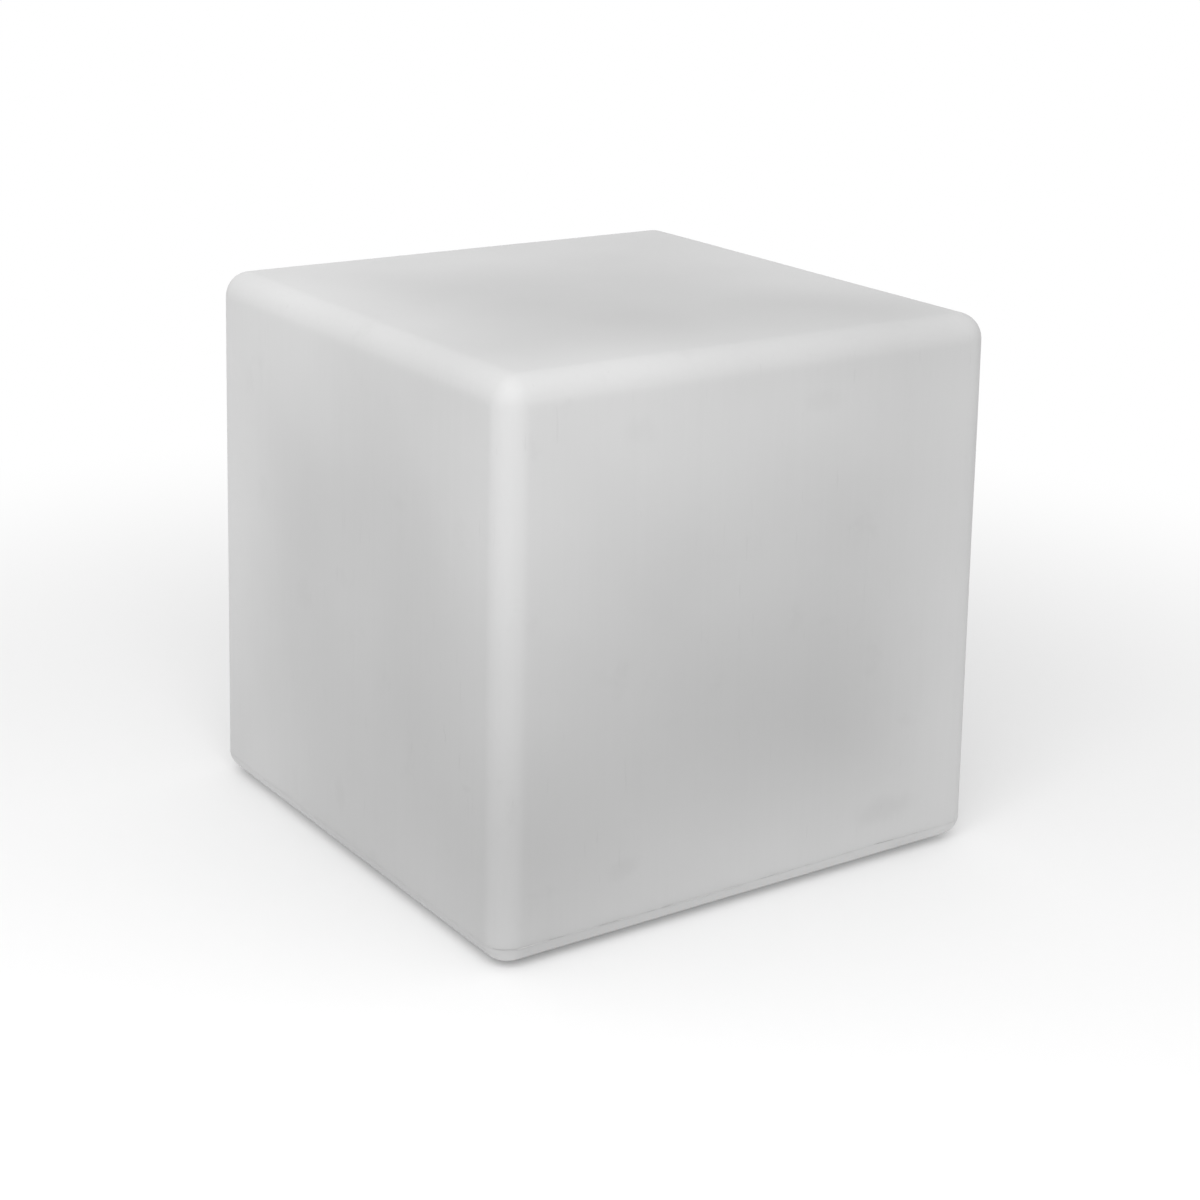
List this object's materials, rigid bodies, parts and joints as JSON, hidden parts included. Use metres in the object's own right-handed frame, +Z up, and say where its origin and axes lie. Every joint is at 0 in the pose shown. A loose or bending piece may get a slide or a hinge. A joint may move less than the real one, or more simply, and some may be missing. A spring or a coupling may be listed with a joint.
{
  "type": "led cube light",
  "caption": "Hollow moulded milky cube with large round edges on rubber feet, closed below by a recessed round module with battery, LED board, power button and capped charging socket.",
  "frame": {"origin": "centre of the base, at the height of the feet's undersides", "axes": "+Z up, -Y towards the front face, +X to the right of the front face"},
  "size_m": [0.4002, 0.4002, 0.385],
  "materials": {
    "moulded_shell": "satin, milky translucent polyethylene with a fine mould texture",
    "foot_rubber": "matt black rubber",
    "seal_rubber": "matt black rubber",
    "cap_silicone": "soft matt silicone",
    "brass": "turned, bright",
    "zinc_steel": "zinc plated",
    "nickel": "nickel strip",
    "module_plastic": "fine spark-eroded texture",
    "frosted_dome": "frosted translucent polycarbonate",
    "board_aluminium": "white solder mask",
    "board_laminate": "green solder mask",
    "led_package": "phosphor filled package",
    "black_plastic": "moulded black",
    "connector_plastic": "natural nylon",
    "capacitor_can": "sleeved can",
    "foam": "closed cell foam",
    "cell_wrap": "shrink sleeve on a steel can",
    "lead_jacket": "soft jacket",
    "button_plastic": "smooth grey",
    "clear_acrylic": "polished"
  },
  "bodies": {
    "light": {"cube_shell": "moulded_shell", "foot_front_left": "foot_rubber", "foot_front_right": "foot_rubber", "foot_rear_left": "foot_rubber", "foot_rear_right": "foot_rubber", "threaded_inserts": "brass", "module_screws": "zinc_steel", "flange_gasket": "seal_rubber", "base_tub": "module_plastic", "dome_seal": "seal_rubber", "dome_cover": "frosted_dome", "dome_screws": "zinc_steel", "led_board": "board_aluminium", "led_chips": "led_package", "led_board_screws": "zinc_steel", "ir_receiver": "black_plastic", "control_board": "board_laminate", "control_board_screws": "zinc_steel", "board_chips": "black_plastic", "board_capacitors": "capacitor_can", "board_connectors": "connector_plastic", "battery_pad": "foam", "battery_cells": "cell_wrap", "cell_strips": "nickel", "battery_clamp": "module_plastic", "battery_clamp_screws": "zinc_steel", "battery_lead": "lead_jacket", "charging_lead": "lead_jacket", "led_lead": "lead_jacket", "switch_body": "black_plastic", "light_pipe": "clear_acrylic", "status_led": "led_package", "charging_jack": "black_plastic", "jack_contacts": "brass", "jack_washer": "seal_rubber", "jack_nut": "brass", "cap_anchor": "cap_silicone"},
    "power_button": {"button_cap": "button_plastic", "button_ring": "seal_rubber", "switch_stem": "connector_plastic"},
    "charging_cap": {"charging_cap": "cap_silicone"}
  },
  "joints": [
    {"name": "button_press", "type": "slide", "parent": "light", "child": "power_button", "axis": [0, 0, 1], "range_m": [0, 0.0018], "stiffness_N_per_m": 1500},
    {"name": "charging_cap_hinge", "type": "hinge", "parent": "light", "child": "charging_cap", "pos_m": [0.046, 0.004, 0.01595], "axis": [-1, 0, 0], "range_deg": [0, 150]}
  ]
}
